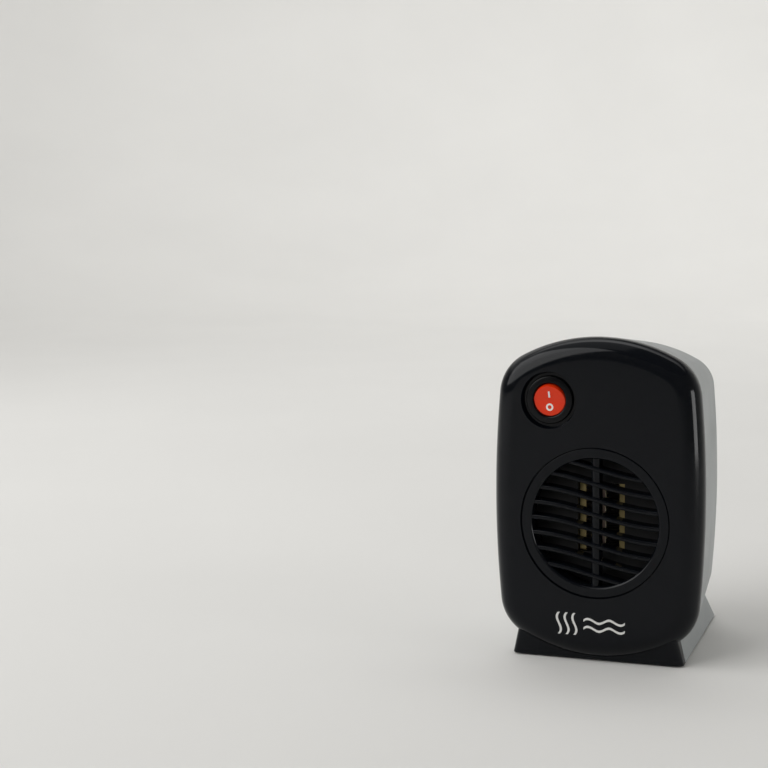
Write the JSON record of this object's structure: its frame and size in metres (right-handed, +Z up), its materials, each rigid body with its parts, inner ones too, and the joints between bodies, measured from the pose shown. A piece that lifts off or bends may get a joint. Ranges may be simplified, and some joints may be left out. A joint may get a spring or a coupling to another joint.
{
  "type": "ceramic space heater",
  "caption": "Small upright ceramic space heater with a gloss black face, round slatted outlet, red rocker switch and a tapering grey housing on a flared foot.",
  "frame": {"origin": "bottom centre of the heater's box, on the surface it stands on", "axes": "+Z up, the face and outlet look along -Y, +X to the right of someone facing the outlet"},
  "size_m": [0.1014, 0.0962, 0.154],
  "materials": {
    "gloss_black": "polished moulded ABS",
    "housing_grey": "fine satin moulded ABS with a silver-grey tint",
    "matte_black": "moulded, fine texture",
    "rubber_black": "moulded, matt",
    "screw_steel": "zinc plated",
    "silver_print": "pad-printed silver ink",
    "switch_black": "moulded nylon, semi-gloss",
    "switch_red": "polished translucent red",
    "white_print": "pad-printed white ink",
    "nylon_white": "moulded nylon",
    "spring_steel": "bright",
    "brass": "bright stamped",
    "frame_black": "heat-proof glass-filled plastic",
    "ptc_ceramic": "silvered ceramic stone",
    "aluminium": "rolled strip",
    "phenolic": "moulded phenolic",
    "fuse_sleeve": "woven glass sleeve with silicone",
    "fan_black": "moulded",
    "rotor_metal": "die-cast cage over laminations",
    "core_steel": "stacked laminations",
    "copper": "bare copper",
    "copper_wire": "enamelled copper wire",
    "cast_alloy": "die cast",
    "bronze": "sintered bronze"
  },
  "bodies": {
    "casing": {"front_panel": "gloss_black", "outlet_grille": "gloss_black", "rear_housing": "housing_grey", "base_plate": "matte_black", "rubber_feet": "rubber_black", "plate_screws": "screw_steel", "housing_screws": "screw_steel", "printed_mark": "silver_print", "switch_body": "switch_black", "switch_terminals": "brass", "heater_frame": "frame_black", "frame_screws": "screw_steel", "ptc_stones": "ptc_ceramic", "electrode_strips": "aluminium", "fin_pack_left": "aluminium", "fin_pack_right": "aluminium", "side_plates": "aluminium", "spring_bars": "spring_steel", "thermostat_cap": "aluminium", "thermostat_body": "phenolic", "thermostat_tabs": "brass", "thermal_fuse": "fuse_sleeve", "fuse_clip": "spring_steel", "fan_shroud": "frame_black", "shroud_screws": "screw_steel", "stator_core": "core_steel", "coil_core": "core_steel", "shading_loops": "copper", "coil_bobbin": "nylon_white", "coil_winding": "copper_wire", "front_bearing_bracket": "cast_alloy", "rear_bearing_bracket": "cast_alloy", "bearing_bushes": "bronze", "motor_bolts": "screw_steel", "motor_nuts": "screw_steel", "cord_bush": "rubber_black"},
    "fan": {"impeller": "fan_black", "impeller_clip": "spring_steel", "motor_shaft": "spring_steel", "rotor_core": "rotor_metal"},
    "rocker": {"switch_rocker": "switch_red", "rocker_legends": "white_print", "switch_plunger": "nylon_white", "switch_spring": "spring_steel"},
    "seesaw": {"contact_seesaw": "brass"}
  },
  "joints": [
    {"name": "fan_spin", "type": "hinge", "parent": "casing", "child": "fan", "pos_m": [0, 0, 0.0674], "axis": [0, 1, 0], "continuous": true},
    {"name": "switch_rock", "type": "hinge", "parent": "casing", "child": "rocker", "pos_m": [-0.022, -0.04389, 0.1246], "axis": [-1, 0, 0], "range_deg": [0, 20]},
    {"name": "contact_tip", "type": "hinge", "parent": "casing", "child": "seesaw", "pos_m": [-0.022, -0.03489, 0.1246], "axis": [-1, 0, 0], "range_deg": [-12, 0]}
  ],
  "couplings": [
    {"joint": "contact_tip", "follows": "switch_rock", "ratio": -0.6}
  ]
}
